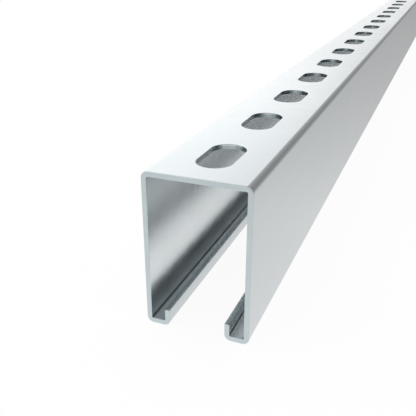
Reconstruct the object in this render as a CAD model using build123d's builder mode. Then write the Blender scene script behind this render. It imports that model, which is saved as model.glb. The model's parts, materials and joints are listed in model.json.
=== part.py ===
from build123d import *

import os

# A slotted strut channel: steel strip roll-formed into a deep C with inturned lips.
#
# The web is on top and the open mouth faces down, so a length rests on its two lips.
# Millimetres. +Y runs along the stock, +Z is up through the web, and the origin lies
# midway along the stock, centred between the walls, on the plane that the lips rest on.

# Stock
stock_length = 1000.0
sheet_thickness = 2.0

# Section, over the outside faces
channel_width = 41.0
channel_height = 62.0
mouth_width = 22.0  # clear gap between the two lips
lip_height = 6.9  # from the outside of the flange to the slit edge of the lip
inside_bend_radius = 0.5

# Row of obround slots punched through the web
slot_width = 14.0
slot_length = 28.0
slot_pitch = 50.0  # centre to centre; a cut length ends half a pitch past its last slot

outside_bend_radius = inside_bend_radius + sheet_thickness
slot_count = int(stock_length // slot_pitch)

# The outside face of the strip, from the edge of one lip round to the edge of the other
wall_x = channel_width / 2
lip_x = mouth_width / 2
strip_corners = [
    (lip_x, lip_height),
    (lip_x, 0),
    (wall_x, 0),
    (wall_x, channel_height),
    (-wall_x, channel_height),
    (-wall_x, 0),
    (-lip_x, 0),
    (-lip_x, lip_height),
]

with BuildPart() as strut_channel:
    # Six bends in one strip: every bend keeps the sheet's thickness
    with BuildSketch(Plane.XZ) as section:
        with BuildLine() as outside_face:
            FilletPolyline(*strip_corners, radius=outside_bend_radius)
            offset(amount=sheet_thickness, side=Side.LEFT, kind=Kind.ARC)
        make_face()
    extrude(amount=stock_length / 2, both=True)

    # The slots, punched from the middle of the sheet out through both of its faces
    with BuildSketch(Plane.XY.offset(channel_height - sheet_thickness / 2)) as punches:
        with GridLocations(0, slot_pitch, 1, slot_count):
            SlotOverall(slot_length, slot_width, rotation=90)
    extrude(amount=sheet_thickness, both=True, mode=Mode.SUBTRACT)

strut_channel.part.label = "strut_channel"

os.makedirs("parts", exist_ok=True)
export_step(strut_channel.part, "parts/strut_channel.step")
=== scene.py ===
# Dresses a slotted strut channel: the rolled strip with its real edges, a zinc finish,
# and a small white studio round it.
import json
import math

import bmesh
import bpy
from mathutils import Matrix, Vector


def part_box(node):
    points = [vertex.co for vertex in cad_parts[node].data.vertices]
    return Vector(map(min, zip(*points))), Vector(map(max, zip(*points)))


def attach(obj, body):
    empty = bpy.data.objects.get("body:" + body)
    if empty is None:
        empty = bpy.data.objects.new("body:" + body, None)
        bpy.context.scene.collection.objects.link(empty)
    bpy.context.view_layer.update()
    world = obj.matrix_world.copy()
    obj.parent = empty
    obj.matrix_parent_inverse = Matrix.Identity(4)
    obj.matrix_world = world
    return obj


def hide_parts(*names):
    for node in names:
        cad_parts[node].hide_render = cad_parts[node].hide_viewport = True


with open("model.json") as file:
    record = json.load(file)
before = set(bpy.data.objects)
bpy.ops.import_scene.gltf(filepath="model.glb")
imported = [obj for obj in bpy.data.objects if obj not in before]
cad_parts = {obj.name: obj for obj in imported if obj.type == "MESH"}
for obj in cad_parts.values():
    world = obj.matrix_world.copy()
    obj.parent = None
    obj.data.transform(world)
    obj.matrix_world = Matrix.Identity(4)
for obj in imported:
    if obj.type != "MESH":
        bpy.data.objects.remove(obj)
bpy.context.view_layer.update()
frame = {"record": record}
stockLow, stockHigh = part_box("strut_channel")
print("stage: frame loaded")

# The strip, in metres. Its overall size and its slots come from the frame
strip = {
    "sheet": 0.002,
    "insideBend": 0.0005,
    "mouth": 0.022,
    "lipHeight": 0.0069,
    "bendSteps": 12,
    "slotSteps": 20,  # to each half circle
    "rim": 0.001,  # even faces round each slot, and across the web at each pitch
    "sharpAngle": 60,  # degrees between two faces, above which their edge can be rounded
    "breakSteps": 3,
    "cutBreak": 0.00014,  # the sawn ends and the slit edges of the lips
    "punchRoll": 0.00010,  # where the punch drew the sheet in
    "punchBurr": 0.00005,  # where it came out
}

# How near to each other two vertices are one, and how near to a face they lie on it
weldGap = 1e-6
faceGap = 1e-5
slotGap = 1e-4

width = stockHigh.x - stockLow.x
height = stockHigh.z - stockLow.z
topZ = stockHigh.z
lipZ = stockLow.z + strip["lipHeight"]
mouthHalf = strip["mouth"] / 2
bendRadius = strip["insideBend"] + strip["sheet"]
flatHalf = width / 2 - bendRadius

slotDims = next(m["dims"] for m in frame["record"]["mounts"] if m["kind"] == "bolt_pattern")
slotRadius = slotDims["hole_r_mm"] / 1000
slotStraight = slotDims["slot_length_mm"] / 1000 - 2 * slotRadius
slotPitch = slotDims["spacing_y_mm"] / 1000
slotCount = round((stockHigh.y - stockLow.y) / slotPitch)

# In the order of the piece's material slots
finishNames = ("outerZinc", "sawnEnd", "slitLip", "punchedSlot", "innerZincPaintedLight")


def vertsOf(geom):
    return [g for g in geom if isinstance(g, bmesh.types.BMVert)]


def edgesOf(geom):
    return [g for g in geom if isinstance(g, bmesh.types.BMEdge)]


def addObround(bm, radius, middle):
    # two spun half circles, joined by the straight sides
    known = set(bm.edges)
    ends = []
    for way in (1, -1):
        centre = middle + Vector((0, way * slotStraight / 2, 0))
        first = bm.verts.new(centre + Vector((way * radius, 0, 0)))
        arc = bmesh.ops.spin(
            bm, geom=[first], cent=centre, axis=(0, 0, 1), dvec=(0, 0, 0), angle=math.pi,
            steps=strip["slotSteps"], use_merge=False, use_duplicate=False)
        ends += [first, vertsOf(arc["geom_last"])[0]]
    bm.edges.new((ends[1], ends[2]))
    bm.edges.new((ends[3], ends[0]))
    return [e for e in bm.edges if e not in known]


def runStrip(bm, edges, move):
    grown = bmesh.ops.extrude_edge_only(bm, edges=edges)["geom"]
    bmesh.ops.translate(bm, verts=vertsOf(grown), vec=move)
    far = set(vertsOf(grown))
    return [e for e in edgesOf(grown) if all(v in far for v in e.verts)]


def bendStrip(bm, edges, centre, angle):
    turned = bmesh.ops.spin(
        bm, geom=edges, cent=centre, axis=(0, 1, 0), dvec=(0, 0, 0), angle=angle,
        steps=strip["bendSteps"], use_merge=False, use_duplicate=False)
    return edgesOf(turned["geom_last"])


def addWebTile(bm, middle):
    # one pitch of the web's flat, with its slot
    hole = addObround(bm, slotRadius, middle)
    ring = addObround(bm, slotRadius + strip["rim"], middle)
    bmesh.ops.bridge_loops(bm, edges=hole + ring)
    flat = bmesh.ops.create_grid(
        bm, x_segments=1, y_segments=1, size=1, matrix=Matrix.Translation(middle))
    corners = flat["verts"]
    bmesh.ops.scale(bm, verts=corners, space=Matrix.Translation(-middle),
                    vec=(flatHalf, slotPitch / 2 - strip["rim"], 1))
    # without repeats, and in the same order each run
    border = list(dict.fromkeys(e for v in corners for e in v.link_edges))
    inside = list(dict.fromkeys(f for v in corners for f in v.link_faces))
    bmesh.ops.delete(bm, geom=inside, context="FACES_ONLY")
    bmesh.ops.triangle_fill(bm, edges=border + ring, use_beauty=True, use_dissolve=False)
    for way in (1, -1):
        across = [e for e in border
                  if all((v.co.y - middle.y) * way > slotPitch / 4 for v in e.verts)]
        runStrip(bm, across, (0, way * strip["rim"], 0))


def rollSide(bm, side):
    # three bends the same way round: wall, flange, lip
    edges = [e for e in bm.edges if e.is_boundary
             and all(abs(v.co.x - side * flatHalf) < weldGap for v in e.verts)]
    wallFlat = height - 2 * bendRadius
    flangeFlat = width / 2 - mouthHalf - 2 * bendRadius
    lipX = side * (mouthHalf + bendRadius)
    lowZ = stockLow.z + bendRadius
    stages = (
        ((side * flatHalf, 0, topZ - bendRadius), (0, 0, -wallFlat)),
        ((side * flatHalf, 0, lowZ), (-side * flangeFlat, 0, 0)),
        ((lipX, 0, lowZ), (0, 0, lipZ - lowZ)),
    )
    for centre, run in stages:
        edges = bendStrip(bm, edges, centre, side * math.pi / 2)
        edges = runStrip(bm, edges, run)


def breakEdges(bm, offset, test):
    # rounds the sharp edges whose ends both pass the test
    sharp = math.radians(strip["sharpAngle"])
    edges = [e for e in bm.edges if len(e.link_faces) == 2 and e.calc_face_angle(0) > sharp
             and all(test(v.co) for v in e.verts)]
    bmesh.ops.bevel(
        bm, geom=edges, offset=offset, offset_type="OFFSET", segments=strip["breakSteps"],
        profile=0.5, affect="EDGES", clamp_overlap=True, material=-1)


def atEnd(co):
    return min(co.y - stockLow.y, stockHigh.y - co.y) < faceGap


def onSlit(co):
    return abs(co.z - lipZ) < faceGap and abs(co.x) < mouthHalf + strip["sheet"] + faceGap


def inSlot(co):
    return abs(co.x) < slotRadius + slotGap and co.z > topZ - strip["sheet"] - slotGap


def onPunchSide(co):
    return inSlot(co) and co.z > topZ - faceGap


def onBurrSide(co):
    return inSlot(co) and co.z < topZ - strip["sheet"] + faceGap


def addChannel():
    bm = bmesh.new()
    for number in range(slotCount):
        addWebTile(bm, Vector((0, stockLow.y + (number + 0.5) * slotPitch, topZ)))
    bmesh.ops.remove_doubles(bm, verts=bm.verts[:], dist=weldGap)
    for side in (1, -1):
        rollSide(bm, side)
    bmesh.ops.remove_doubles(bm, verts=bm.verts[:], dist=weldGap)
    bmesh.ops.recalc_face_normals(bm, faces=bm.faces[:])
    if max(bm.faces, key=lambda f: f.calc_center_median().z).normal.z < 0:
        bmesh.ops.reverse_faces(bm, faces=bm.faces[:])
    outside = set(bm.faces)
    bmesh.ops.solidify(bm, geom=bm.faces[:], thickness=strip["sheet"])
    bm.normal_update()

    for face in bm.faces:
        spots = [v.co for v in face.verts]
        name = "outerZinc" if face in outside else "innerZincPaintedLight"
        if all(atEnd(co) for co in spots):
            name = "sawnEnd"
        elif all(onSlit(co) for co in spots):
            name = "slitLip"
        elif all(inSlot(co) for co in spots) and abs(face.normal.z) < 0.5:
            name = "punchedSlot"
        face.material_index = finishNames.index(name)
    breakEdges(bm, strip["punchRoll"], onPunchSide)
    breakEdges(bm, strip["punchBurr"], onBurrSide)
    breakEdges(bm, strip["cutBreak"], lambda co: atEnd(co) or onSlit(co))
    for face in bm.faces:
        face.smooth = True

    mesh = bpy.data.meshes.new("strut_channel_strip")
    bm.to_mesh(mesh)
    bm.free()
    piece = bpy.data.objects.new("strut_channel_strip", mesh)
    bpy.context.collection.objects.link(piece)
    piece.modifiers.new("evenShading", "WEIGHTED_NORMAL").keep_sharp = True
    return piece


def place(tree, kind, inputs=None, **settings):
    node = tree.nodes.new(kind)
    for name, value in settings.items():
        setattr(node, name, value)
    for name, value in (inputs or {}).items():
        if isinstance(value, bpy.types.NodeSocket):
            tree.links.new(value, node.inputs[name])
        else:
            node.inputs[name].default_value = value
    return node


def ranged(tree, value, fromRange, toRange=(0.0, 1.0), smooth=False):
    inputs = {"Value": value, "From Min": fromRange[0], "From Max": fromRange[1],
              "To Min": toRange[0], "To Max": toRange[1]}
    kind = "SMOOTHSTEP" if smooth else "LINEAR"
    return place(tree, "ShaderNodeMapRange", inputs, interpolation_type=kind).outputs["Result"]


def single(tree, operation, value):
    return place(tree, "ShaderNodeMath", {0: value}, operation=operation).outputs[0]


def combine(tree, operation, first, *others):
    result = first
    for value in others:
        inputs = {0: result, 1: value}
        result = place(tree, "ShaderNodeMath", inputs, operation=operation).outputs[0]
    return result


def weighted(tree, *pairs):
    return combine(tree, "ADD", *(combine(tree, "MULTIPLY", *pair) for pair in pairs))


def mixLevels(tree, factor, first, second):
    # 2 and 3 are the Mix node's inputs for plain numbers
    return place(tree, "ShaderNodeMix", {"Factor": factor, 2: first, 3: second}).outputs[0]


def mixColors(tree, factor, first, second):
    # and 6 and 7 those for colours
    inputs = {"Factor": factor, 6: (*first, 1), 7: (*second, 1)}
    return place(tree, "ShaderNodeMix", inputs, data_type="RGBA").outputs[2]


def startGroup(name, inputs, outputs):
    group = bpy.data.node_groups.new(name, "ShaderNodeTree")
    for label, kind, value in inputs:
        socket = group.interface.new_socket(label, in_out="INPUT", socket_type=kind)
        socket.default_value = value
    for label, kind in outputs:
        group.interface.new_socket(label, in_out="OUTPUT", socket_type=kind)
    given = group.nodes.new("NodeGroupInput").outputs
    return group, given, group.nodes.new("NodeGroupOutput")


# The fine lines that a roll, a saw or a punch leaves, long one way and narrow the other
drawn = {
    "lineDetail": 4.0,
    "lineRoughness": 0.62,
    "bandScale": 0.17,  # the broad bands among the lines
    "bandDetail": 2.0,
    "bandRoughness": 0.5,
}


def makeDrawnLines():
    group, given, result = startGroup(
        "drawnLines",
        [("Scale", "NodeSocketVector", (1, 1, 1)), ("Turn", "NodeSocketVector", (0, 0, 0))],
        [("Lines", "NodeSocketFloat"), ("Bands", "NodeSocketFloat")])
    coords = place(group, "ShaderNodeTexCoord").outputs["Object"]
    mapping = {"Vector": coords, "Rotation": given["Turn"], "Scale": given["Scale"]}
    turned = place(group, "ShaderNodeMapping", mapping).outputs[0]
    lines = place(group, "ShaderNodeTexNoise", {
        "Vector": turned, "Scale": 1.0,
        "Detail": drawn["lineDetail"], "Roughness": drawn["lineRoughness"]})
    bands = place(group, "ShaderNodeTexNoise", {
        "Vector": turned, "Scale": drawn["bandScale"],
        "Detail": drawn["bandDetail"], "Roughness": drawn["bandRoughness"]})
    group.links.new(lines.outputs["Fac"], result.inputs["Lines"])
    group.links.new(bands.outputs["Fac"], result.inputs["Bands"])
    return group


# Cloudy patches in the zinc, and the few short scratches of stacking and carrying
handled = {
    "cloudSize": 0.03,
    "cloudDetail": 3.0,
    "cloudRoughness": 0.55,
    "scratchAmount": 0.5,
    "scratchLays": (
        {"turn": (0.05, 0.04, 0.22), "scale": (2400, 45, 2400)},
        {"turn": (-0.08, 0.1, -0.12), "scale": (1900, 60, 1900)},
    ),
    "scratchDetail": 1.0,
    "scratchStep": (0.72, 0.78),  # from no scratch to a full one
    "patchScale": 28.0,  # the scratches keep to patches
    "patchDetail": 1.0,
    "patchStep": (0.45, 0.6),
}


def makeHandling():
    group, given, result = startGroup(
        "handling",
        [("Cloud Size", "NodeSocketFloat", handled["cloudSize"]),
         ("Scratch Amount", "NodeSocketFloat", handled["scratchAmount"])],
        [("Clouds", "NodeSocketFloat"), ("Scratches", "NodeSocketFloat")])
    coords = place(group, "ShaderNodeTexCoord").outputs["Object"]
    clouds = place(group, "ShaderNodeTexNoise", {
        "Vector": coords, "Scale": combine(group, "DIVIDE", 1.0, given["Cloud Size"]),
        "Detail": handled["cloudDetail"], "Roughness": handled["cloudRoughness"]})
    lays = []
    for lay in handled["scratchLays"]:
        mapping = {"Vector": coords, "Rotation": lay["turn"], "Scale": lay["scale"]}
        thin = place(group, "ShaderNodeTexNoise", {
            "Vector": place(group, "ShaderNodeMapping", mapping).outputs[0],
            "Scale": 1.0, "Detail": handled["scratchDetail"]})
        lays.append(ranged(group, thin.outputs["Fac"], handled["scratchStep"], smooth=True))
    patches = place(group, "ShaderNodeTexNoise", {
        "Vector": coords, "Scale": handled["patchScale"], "Detail": handled["patchDetail"]})
    where = ranged(group, patches.outputs["Fac"], handled["patchStep"], smooth=True)
    scratches = combine(group, "MULTIPLY", combine(group, "MAXIMUM", *lays), where,
                        given["Scratch Amount"])
    group.links.new(clouds.outputs["Fac"], result.inputs["Clouds"])
    group.links.new(scratches, result.inputs["Scratches"])
    return group


drawnLines = makeDrawnLines()
handling = makeHandling()
noiseSpan = (0.3, 0.7)  # where nearly all of a noise's values lie


def startMaterial(name):
    material = bpy.data.materials.new(name)
    material.use_nodes = True
    tree = material.node_tree
    tree.nodes.clear()
    shader = place(tree, "ShaderNodeBsdfPrincipled", {"Metallic": 1.0})
    place(tree, "ShaderNodeOutputMaterial", {"Surface": shader.outputs[0]})
    return material, tree, shader


def feed(tree, shader, color, roughness, relief, depth):
    bump = place(tree, "ShaderNodeBump", {"Height": relief, "Distance": depth, "Strength": 1.0})
    tree.links.new(color, shader.inputs["Base Color"])
    tree.links.new(roughness, shader.inputs["Roughness"])
    tree.links.new(bump.outputs[0], shader.inputs["Normal"])


def useLines(tree, scale, turn=(0, 0, 0)):
    inputs = {"Scale": scale, "Turn": turn}
    return place(tree, "ShaderNodeGroup", inputs, node_tree=drawnLines).outputs


def useHandling(tree, cloudSize, scratchAmount):
    inputs = {"Cloud Size": cloudSize, "Scratch Amount": scratchAmount}
    return place(tree, "ShaderNodeGroup", inputs, node_tree=handling).outputs


# The rolled zinc. Each colour and roughness varies between the two given
zinc = {
    "outerDark": (0.530, 0.566, 0.582),
    "outerLight": (0.570, 0.604, 0.618),
    "outerRoughness": (0.18, 0.22),
    "outerScratches": 0.3,
    # painted light: the inner faces' zinc is painted lighter than the outer, standing in for light
    # bouncing inside the channel
    "innerDark": (0.723, 0.764, 0.779),
    "innerLight": (0.774, 0.810, 0.823),
    "innerRoughness": (0.22, 0.26),
    "innerScratches": 0.1,
    "rollScale": (850.0, 7.0, 850.0),
    "rollDepth": 0.0000016,
    "cloudSize": 0.035,
    "spangleSize": 0.0045,
    # shares of lines, bands, clouds and crystals in the colour
    "toneShares": (0.35, 0.3, 0.25, 0.10),
    # and of clouds and crystals in the roughness
    "roughShares": (0.6, 0.4),
    "roughSpan": (0.25, 0.75),
    "scratchRoughness": 0.08,
    "scratchRelief": 1.5,
    # painted shade in the lower inside bends: its width, how far it fades and its darkest level
    "creaseShadeWidth": 0.00045,
    "creaseShadeFade": 1.6,  # times that width
    "creaseShadeLevel": 0.30,
}


def paintCreaseShade(tree, coords, color):
    # painted shade: the colour darkens in the tight bends between the walls and the flanges, as if
    # little light reached them
    parts = place(tree, "ShaderNodeSeparateXYZ", {0: coords}).outputs
    fromMiddle = single(tree, "ABSOLUTE", parts["X"])
    across = combine(tree, "SUBTRACT", fromMiddle, width / 2 - strip["sheet"])
    up = combine(tree, "SUBTRACT", parts["Z"], stockLow.z + strip["sheet"])
    reach = single(tree, "SQRT", weighted(tree, (across, across), (up, up)))
    fade = (zinc["creaseShadeWidth"], zinc["creaseShadeWidth"] * zinc["creaseShadeFade"])
    keep = ranged(tree, reach, fade, (zinc["creaseShadeLevel"], 1.0), smooth=True)
    inputs = {0: color, 1: keep}
    return place(tree, "ShaderNodeVectorMath", inputs, operation="MULTIPLY").outputs[0]


def makeZincSheet(name, side):
    material, tree, shader = startMaterial(name)
    coords = place(tree, "ShaderNodeTexCoord").outputs["Object"]
    rolled = useLines(tree, zinc["rollScale"])
    worn = useHandling(tree, zinc["cloudSize"], zinc[side + "Scratches"])
    crystal = place(tree, "ShaderNodeTexVoronoi",
                    {"Vector": coords, "Scale": 1 / zinc["spangleSize"]}, feature="F1")
    grain = place(tree, "ShaderNodeSeparateColor", {0: crystal.outputs["Color"]}).outputs[0]
    toneParts = (rolled["Lines"], rolled["Bands"], worn["Clouds"], grain)
    tone = weighted(tree, *zip(toneParts, zinc["toneShares"]))
    mix = ranged(tree, tone, noiseSpan)
    color = mixColors(tree, mix, zinc[side + "Dark"], zinc[side + "Light"])
    # the inner faces get painted shade in their lower bends
    if side == "inner":
        color = paintCreaseShade(tree, coords, color)
    mottle = weighted(tree, *zip((worn["Clouds"], grain), zinc["roughShares"]))
    base = ranged(tree, mottle, zinc["roughSpan"], zinc[side + "Roughness"])
    scratched = combine(tree, "MULTIPLY", worn["Scratches"], zinc["scratchRoughness"])
    dug = combine(tree, "MULTIPLY", worn["Scratches"], zinc["scratchRelief"])
    feed(tree, shader, color, combine(tree, "ADD", base, scratched),
         combine(tree, "SUBTRACT", rolled["Lines"], dug), zinc["rollDepth"])
    return material


# The ends, as the saw left them
sawn = {
    "dark": (0.530, 0.608, 0.632),
    "light": (0.600, 0.670, 0.690),
    "roughness": (0.38, 0.28),  # from the deepest lines to the highest
    "lineScale": (90.0, 300.0, 2600.0),
    "lineTurn": (0.0, 0.35, 0.0),
    "lineDepth": 0.000006,
    "cloudSize": 0.006,
    "scratches": 0.3,
    "toneShares": (0.6, 0.4),  # of lines and clouds
}


def makeSawnZinc(name):
    material, tree, shader = startMaterial(name)
    lines = useLines(tree, sawn["lineScale"], sawn["lineTurn"])["Lines"]
    worn = useHandling(tree, sawn["cloudSize"], sawn["scratches"])
    tone = weighted(tree, *zip((lines, worn["Clouds"]), sawn["toneShares"]))
    color = mixColors(tree, ranged(tree, tone, noiseSpan), sawn["dark"], sawn["light"])
    roughness = ranged(tree, lines, noiseSpan, sawn["roughness"])
    feed(tree, shader, color, roughness, lines, sawn["lineDepth"])
    return material


# The faces that a punch or a slitter left: it burnishes the first part of the thickness
# and tears the rest
sheared = {
    "burnished": (0.66, 0.72, 0.74),
    "torn": (0.49, 0.55, 0.57),
    "roughness": (0.15, 0.26),  # burnished, torn
    "relief": (0.25, 1.0),  # burnished, torn
    "burnishShare": 0.38,
    "tearBlend": 0.05,  # each side of that share
    "tearWander": (-0.12, 0.12),
    "tearDepth": 0.000012,
    "cloudSize": 0.004,
    "cloudRoughness": (-0.03, 0.03),
    "scratches": 0.2,
}

# Each with the axis of its thickness and where the tool met it and left it
shearedFaces = {
    "slitLip": {
        "axis": "X",
        "thickness": (mouthHalf, mouthHalf + strip["sheet"]),
        "lineScale": (260.0, 1500.0, 260.0),
    },
    "punchedSlot": {
        "axis": "Z",
        "thickness": (topZ, topZ - strip["sheet"]),
        "lineScale": (2200.0, 2200.0, 200.0),
    },
}


def makeSheared(name):
    face = shearedFaces[name]
    material, tree, shader = startMaterial(name)
    coords = place(tree, "ShaderNodeTexCoord").outputs["Object"]
    across = place(tree, "ShaderNodeSeparateXYZ", {0: coords}).outputs[face["axis"]]
    depth = ranged(tree, single(tree, "ABSOLUTE", across), face["thickness"])
    lines = useLines(tree, face["lineScale"])
    worn = useHandling(tree, sheared["cloudSize"], sheared["scratches"])
    wander = ranged(tree, lines["Bands"], noiseSpan, sheared["tearWander"])
    share, blend = sheared["burnishShare"], sheared["tearBlend"]
    ragged = combine(tree, "ADD", depth, wander)
    tear = ranged(tree, ragged, (share - blend, share + blend), smooth=True)
    color = mixColors(tree, tear, sheared["burnished"], sheared["torn"])
    roughness = combine(tree, "ADD", ranged(tree, tear, (0.0, 1.0), sheared["roughness"]),
                        ranged(tree, worn["Clouds"], noiseSpan, sheared["cloudRoughness"]))
    relief = combine(tree, "MULTIPLY", lines["Lines"],
                     ranged(tree, tear, (0.0, 1.0), sheared["relief"]))
    feed(tree, shader, color, roughness, relief, sheared["tearDepth"])
    return material


finishes = {
    "outerZinc": makeZincSheet("outerZinc", "outer"),
    # the inner faces take a copy of the zinc painted lighter, as painted light
    "innerZincPaintedLight": makeZincSheet("innerZincPaintedLight", "inner"),
    "sawnEnd": makeSawnZinc("sawnEnd"),
    **{name: makeSheared(name) for name in shearedFaces},
}
channelPiece = addChannel()
for name in finishNames:
    channelPiece.data.materials.append(finishes[name])
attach(channelPiece, "root")
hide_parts("strut_channel")
print("stage: channel made,", len(channelPiece.data.polygons), "faces")

# The studio: a pale floor, a white room whose reflection darkens to the right, and one
# long softbox up on the left
studio = {
    "floorHalf": 12.0,
    "floorGap": 0.00002,
    "floorColor": (0.93, 0.93, 0.93, 1),
    "shadowShare": 0.07,  # of the floor that takes the light, and so the shadow
    # brightness that the metal sees above the horizon, by degrees round the stock from its right
    "skySteps": ((0, 0.37), (38, 0.355), (56, 0.405), (80, 0.48), (106, 0.63), (118, 0.80),
                 (127, 0.92), (142, 1.18), (156, 1.35), (180, 1.6)),
    # and below it, by degrees down
    "groundSteps": ((0, 0.41), (4, 0.47), (8, 0.55), (12, 0.61), (17, 0.715), (24, 0.875),
                    (35, 0.96), (55, 1.03), (90, 1.03)),
    "rampScale": 2.0,  # a ramp's colours run to 1, so the steps are divided by this on it
    "horizonBlend": 0.01,
    "aheadGlow": 0.30,  # more above the horizon, straight along the stock
    "aheadStep": (0.975, 0.996),
    "aheadAround": (108, 124),  # degrees round the stock, where that glow comes in
    "leftGlow": (0.1, 0.9),  # where the ground evens out to white on the left
    "leftAheadStep": (-0.2, 0.5),  # and from white to the next on the left beyond the near end
    "leftAheadGround": 1.5,
    "softboxPower": 3.0,
    "softboxSize": (0.85, 3.2),
    "softboxPlace": (-0.65, 1.0, 0.5),  # from the middle of the near end
}


def roomRay(tree):
    # 1 where the ray comes from the camera, or from metal or glass that shows the room
    path = place(tree, "ShaderNodeLightPath").outputs
    return combine(tree, "MAXIMUM", path["Is Camera Ray"], path["Is Glossy Ray"],
                   path["Is Transmission Ray"])


def addFloor():
    bm = bmesh.new()
    ground = Matrix.Translation((0, 0, stockLow.z - studio["floorGap"]))
    bmesh.ops.create_grid(
        bm, x_segments=1, y_segments=1, size=studio["floorHalf"], matrix=ground)
    mesh = bpy.data.meshes.new("floor")
    bm.to_mesh(mesh)
    bm.free()
    floor = bpy.data.objects.new("floor", mesh)
    bpy.context.collection.objects.link(floor)
    material = bpy.data.materials.new("paleFloor")
    material.use_nodes = True
    material.cycles.emission_sampling = "NONE"
    tree = material.node_tree
    tree.nodes.clear()
    matte = place(tree, "ShaderNodeBsdfDiffuse", {"Color": studio["floorColor"]})
    white = place(tree, "ShaderNodeEmission", {"Strength": 1.0})
    share = ranged(tree, roomRay(tree), (0.0, 1.0), (0.0, 1.0 - studio["shadowShare"]))
    mix = place(tree, "ShaderNodeMixShader", {0: share, 1: matte.outputs[0], 2: white.outputs[0]})
    place(tree, "ShaderNodeOutputMaterial", {"Surface": mix.outputs[0]})
    mesh.materials.append(material)
    floor.visible_glossy = False  # the metal sees the room's own ground instead


def addSteps(tree, angle, lastDegrees, steps):
    level = ranged(tree, angle, (0.0, math.radians(lastDegrees)))
    ramp = place(tree, "ShaderNodeValToRGB", {"Fac": level})
    stops = ramp.color_ramp.elements
    stops.remove(stops[-1])
    for number, (degrees, strength) in enumerate(steps):
        position = degrees / lastDegrees
        stop = stops[0] if number == 0 else stops.new(position)
        stop.position = position
        stop.color = (*[strength / studio["rampScale"]] * 3, 1)
    return combine(tree, "MULTIPLY", ramp.outputs["Color"], studio["rampScale"])


def addRoom():
    world = bpy.data.worlds.new("whiteRoom")
    bpy.context.scene.world = world
    world.use_nodes = True
    world.cycles.sampling_method = "NONE"  # the metal finds it by itself, with less noise
    tree = world.node_tree
    tree.nodes.clear()
    way = place(tree, "ShaderNodeTexCoord").outputs["Generated"]
    parts = place(tree, "ShaderNodeSeparateXYZ", {0: way}).outputs
    around = combine(tree, "ARCTAN2", parts["Z"], parts["X"])
    down = single(tree, "ARCSINE", combine(tree, "MULTIPLY", parts["Z"], -1.0))

    sky = addSteps(tree, around, 180, studio["skySteps"])
    alongStock = ranged(tree, parts["Y"], studio["aheadStep"], (0.0, studio["aheadGlow"]))
    overWeb = ranged(tree, around, [math.radians(edge) for edge in studio["aheadAround"]])
    sky = combine(tree, "ADD", sky, combine(tree, "MULTIPLY", alongStock, overWeb))

    ground = addSteps(tree, down, 90, studio["groundSteps"])
    leftNear, leftFar = studio["leftGlow"]
    left = ranged(tree, parts["X"], (-leftNear, -leftFar), smooth=True)
    leftGround = ranged(tree, parts["Y"], studio["leftAheadStep"],
                        (1.0, studio["leftAheadGround"]), smooth=True)
    ground = mixLevels(tree, left, ground, leftGround)

    blend = studio["horizonBlend"]
    level = mixLevels(tree, ranged(tree, parts["Z"], (-blend, blend)), ground, sky)
    glossy = place(tree, "ShaderNodeLightPath").outputs["Is Glossy Ray"]
    strength = mixLevels(tree, glossy, 1.0, level)
    background = place(tree, "ShaderNodeBackground", {"Color": (1, 1, 1, 1), "Strength": strength})
    place(tree, "ShaderNodeOutputWorld", {"Surface": background.outputs[0]})


def addSoftbox():
    lamp = bpy.data.lights.new("softbox", "AREA")
    lamp.shape = "RECTANGLE"
    lamp.size, lamp.size_y = studio["softboxSize"]
    lamp.energy = studio["softboxPower"]
    softbox = bpy.data.objects.new("softbox", lamp)
    softbox.location = Vector((0, stockLow.y, 0)) + Vector(studio["softboxPlace"])
    softbox.visible_camera = False
    bpy.context.collection.objects.link(softbox)


addFloor()
addRoom()
addSoftbox()
print("stage: studio set")

view = {
    "place": (0.070955, -0.163415, 0.132004),  # from the near end's middle, on the floor
    "down": 24.367,  # degrees
    "left": 22.092,
    "lens": 50.0,
}

camera = bpy.data.objects.new("camera", bpy.data.cameras.new("camera"))
camera.data.lens = view["lens"]
camera.location = Vector((0, stockLow.y, stockLow.z)) + Vector(view["place"])
camera.rotation_euler = (math.radians(90 - view["down"]), 0, math.radians(view["left"]))
bpy.context.collection.objects.link(camera)
bpy.context.scene.camera = camera
bpy.context.scene.view_settings.view_transform = "Standard"
